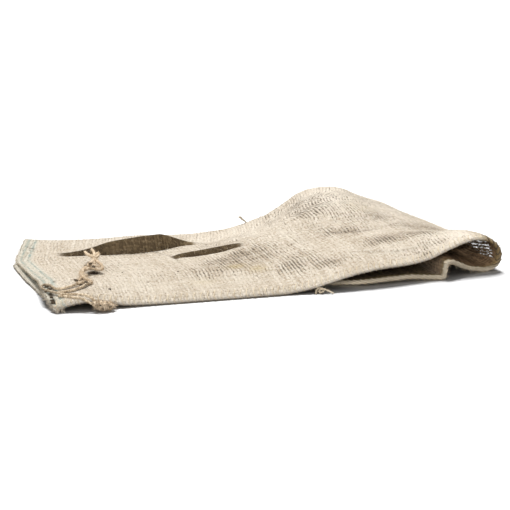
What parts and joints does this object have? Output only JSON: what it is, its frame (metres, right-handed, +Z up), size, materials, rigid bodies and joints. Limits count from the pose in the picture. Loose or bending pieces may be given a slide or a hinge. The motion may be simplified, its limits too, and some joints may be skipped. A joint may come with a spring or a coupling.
{
  "type": "jute sack",
  "caption": "Empty woven sack lying flat and creased, open at one end, its closed end folded under in a loose roll, with a twine tie at a mouth corner.",
  "frame": {"origin": "middle of the cloth's bounding box in plan, on the surface that it lies on", "axes": "+X along the sack from its open mouth to the roll at its closed end, +Y across it from the seamed edge to the folded edge, +Z up"},
  "size_m": [0.56, 0.3348, 0.0666],
  "materials": {
    "jute_cloth": "open plain weave of coarse jute yarn, matt",
    "jute_twine": "twisted jute twine, fuzzy, matt",
    "sewing_thread": "twisted jute sewing thread, matt"
  },
  "bodies": {
    "root": {"sack_cloth": "jute_cloth", "tie_twine_loop": "jute_twine", "tie_twine_back": "jute_twine", "tie_twine_front": "jute_twine", "tie_knot_back": "jute_twine", "tie_knot_front": "jute_twine", "seam_tail": "sewing_thread", "seam_tail_knot": "sewing_thread"}
  },
  "joints": []
}
